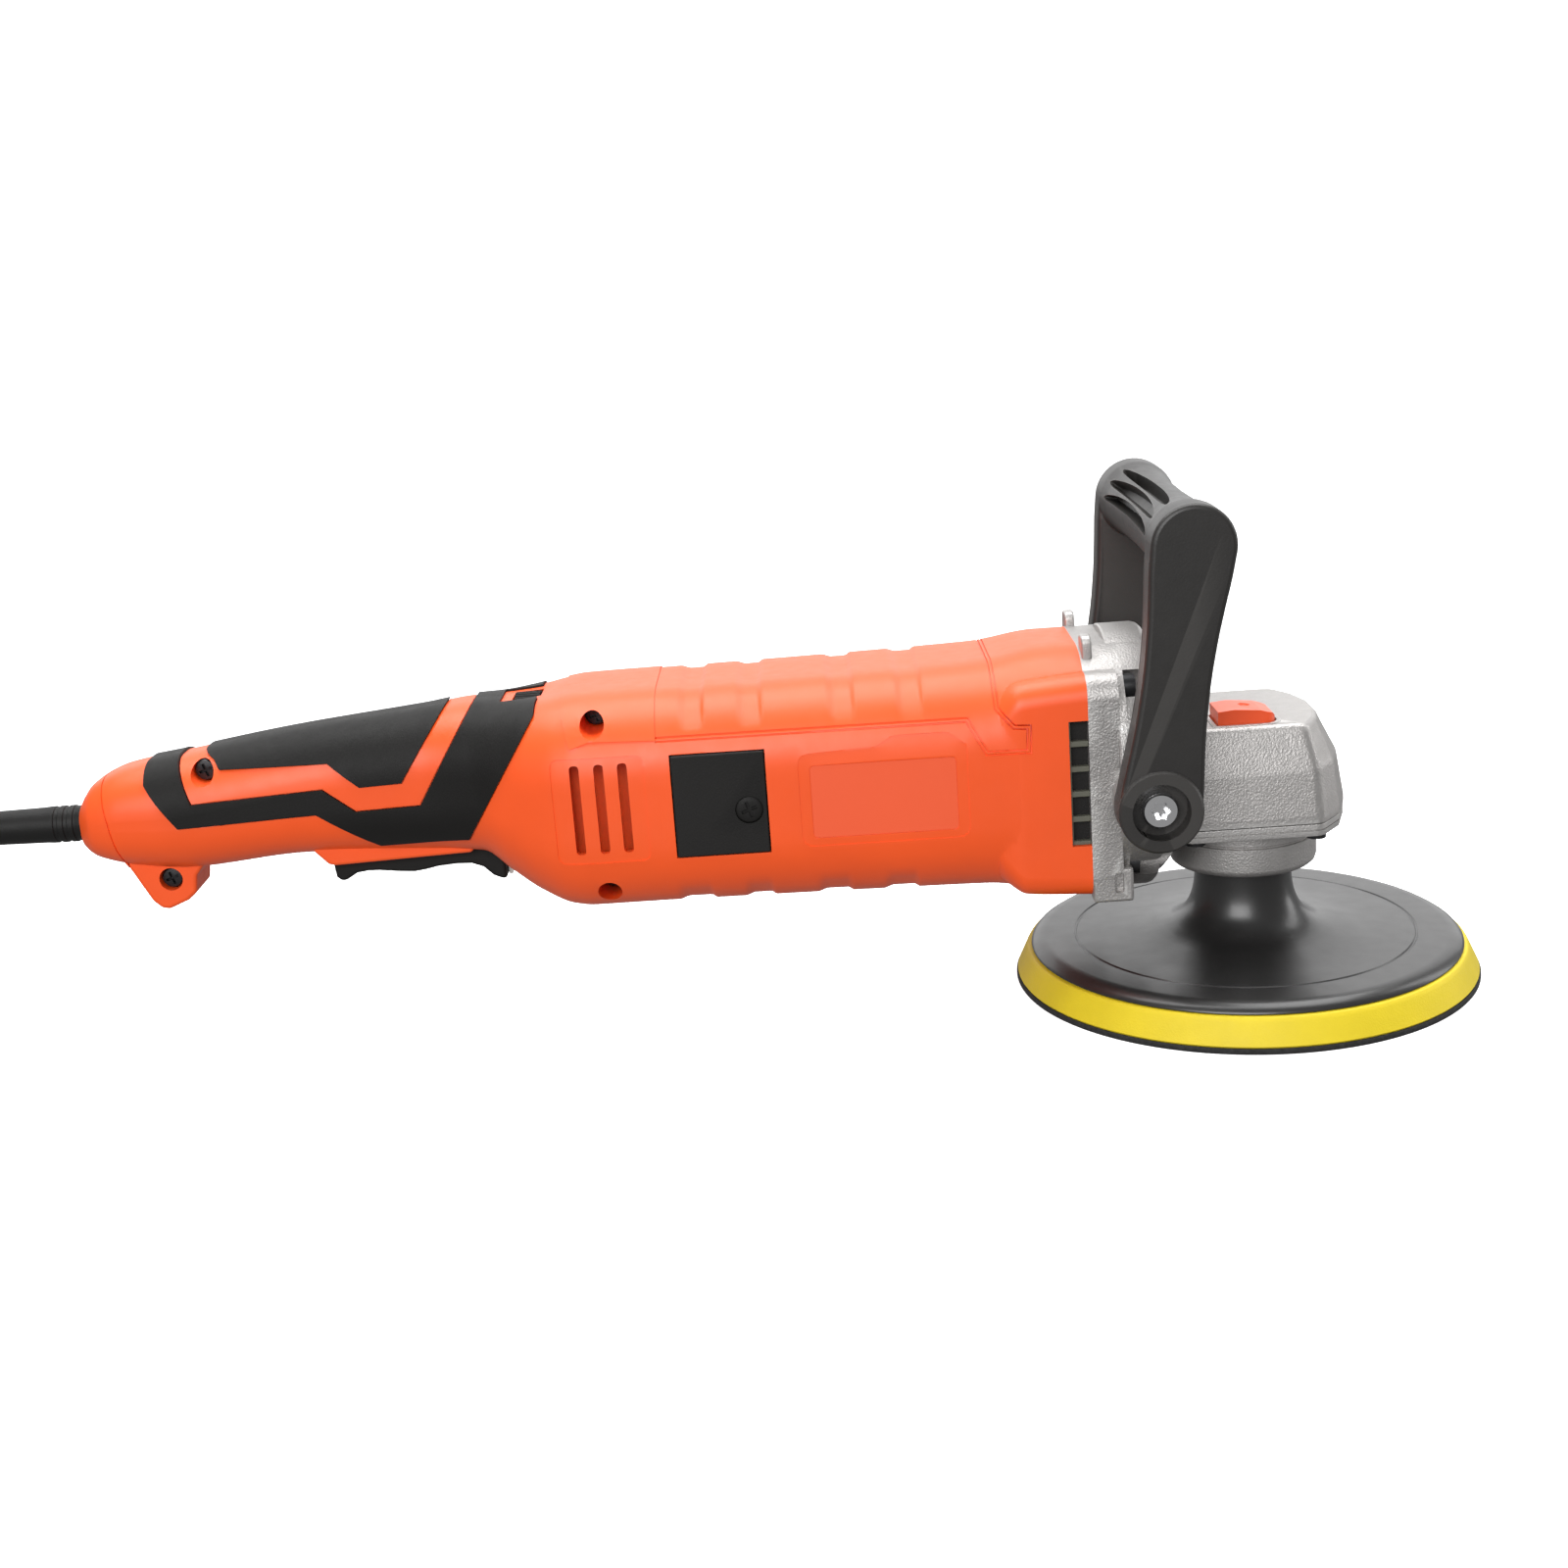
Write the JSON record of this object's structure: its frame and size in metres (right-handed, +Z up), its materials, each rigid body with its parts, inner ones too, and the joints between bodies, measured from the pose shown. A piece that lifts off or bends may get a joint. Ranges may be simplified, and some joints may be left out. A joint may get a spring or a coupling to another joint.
{
  "type": "rotary polisher",
  "caption": "Corded rotary polisher: straight motor body with trigger grip, cast angle head, D-shaped front handle and hook-and-loop pad.",
  "frame": {"origin": "centre of the pad's working face, on the spindle axis", "axes": "+Z up the spindle, +X along the motor axis towards the nose of the gear head, -Y the tool's right-hand side"},
  "size_m": [0.726, 0.232, 0.164],
  "materials": {
    "orange_plastic": "satin moulded plastic",
    "black_plastic": "fine-textured moulded plastic",
    "handle_plastic": "satin glass-filled plastic",
    "soft_rubber": "soft-touch overmould",
    "cast_aluminium": "blasted casting",
    "steel": "machined and hardened",
    "black_steel": "black oxide",
    "zinc_steel": "bright zinc plate",
    "gloss_black": "semi-gloss moulded plastic",
    "yellow_foam": "closed-cell foam skin",
    "hook_loop": "hook-and-loop face",
    "bronze": "sintered bronze",
    "copper": "enamelled copper",
    "laminations": "stacked laminations",
    "carbon": "pressed carbon",
    "grey_plastic": "moulded plastic",
    "white_plastic": "translucent moulded plastic",
    "cord_rubber": "smooth cable sheath"
  },
  "bodies": {
    "casing": {"top_bush": "bronze", "bearing_outer_rings": "steel", "bearing_balls": "steel", "rear_bearing_sleeve": "soft_rubber", "gear_case": "cast_aluminium", "bearing_box": "cast_aluminium", "bearing_box_screws": "black_steel", "gear_case_screws": "black_steel", "motor_housing": "orange_plastic", "vent_grilles": "grey_plastic", "stator_core": "laminations", "stator_coils": "copper", "fan_baffle": "grey_plastic", "brush_holders": "bronze", "carbon_brushes": "carbon", "brush_springs": "steel", "brush_caps": "black_plastic", "brush_cap_screws": "black_plastic", "handle_shell_left": "orange_plastic", "handle_shell_right": "orange_plastic", "soft_grip_left": "soft_rubber", "soft_grip_right": "soft_rubber", "handle_shell_screws": "black_steel", "trigger_pin": "steel", "switch_body": "black_plastic", "speed_control": "grey_plastic", "handle_bolts": "zinc_steel", "handle_washers": "zinc_steel", "cord_guard": "cord_rubber", "lead_in_cord": "cord_rubber", "cord_clamp": "black_plastic", "power_cord": "cord_rubber", "cord_coil": "cord_rubber", "plug_body": "cord_rubber", "plug_blades": "zinc_steel"},
    "spindle": {"spindle": "steel", "spindle_bearing_inner": "steel", "bevel_gear": "steel", "plate_insert": "zinc_steel", "backing_plate": "gloss_black", "foam_pad": "yellow_foam", "loop_sheet": "hook_loop"},
    "rotor": {"armature_shaft": "steel", "armature_core": "laminations", "armature_windings": "copper", "commutator": "copper", "fan": "grey_plastic", "pinion": "steel", "pinion_nut": "zinc_steel", "motor_bearing_inner_rings": "steel"},
    "trigger": {"trigger": "black_plastic", "lock_off_tab": "white_plastic"},
    "plunger": {"switch_plunger": "white_plastic", "plunger_spring": "steel"},
    "speed_dial": {"speed_dial": "black_plastic"},
    "spindle_lock": {"lock_button": "orange_plastic", "lock_pin": "steel", "lock_spring": "steel"},
    "front_handle": {"d_handle": "handle_plastic"}
  },
  "joints": [
    {"name": "spindle_spin", "type": "hinge", "parent": "casing", "child": "spindle", "pos_m": [0, 0, 0], "axis": [0, 0, 1], "continuous": true},
    {"name": "rotor_spin", "type": "hinge", "parent": "casing", "child": "rotor", "pos_m": [-0.1, 0, 0.0762], "axis": [1, 0, 0], "continuous": true},
    {"name": "trigger_squeeze", "type": "hinge", "parent": "casing", "child": "trigger", "pos_m": [-0.292, 0, 0.064], "axis": [0, -1, 0], "range_deg": [0, 7], "stiffness_Nm_per_rad": 1.5, "springref_deg": -14.32},
    {"name": "switch_travel", "type": "slide", "parent": "casing", "child": "plunger", "axis": [0, 0, 1], "range_m": [0, 0.0038], "deforming": ["plunger_spring"]},
    {"name": "dial_turn", "type": "hinge", "parent": "casing", "child": "speed_dial", "pos_m": [-0.228, 0, 0.0986], "axis": [1, 0, 0], "range_deg": [-120, 150]},
    {"name": "lock_press", "type": "slide", "parent": "casing", "child": "spindle_lock", "axis": [0, 0, -1], "range_m": [0, 0.004], "stiffness_N_per_m": 900, "springref_m": -0.004, "deforming": ["lock_spring"]},
    {"name": "handle_tilt", "type": "hinge", "parent": "casing", "child": "front_handle", "pos_m": [-0.0356, 0, 0.0725], "axis": [0, 1, 0], "range_deg": [-30, 35]}
  ],
  "couplings": [
    {"joint": "rotor_spin", "follows": "spindle_spin", "ratio": -4.1},
    {"joint": "switch_travel", "follows": "trigger_squeeze", "m_per_rad": 0.03}
  ]
}
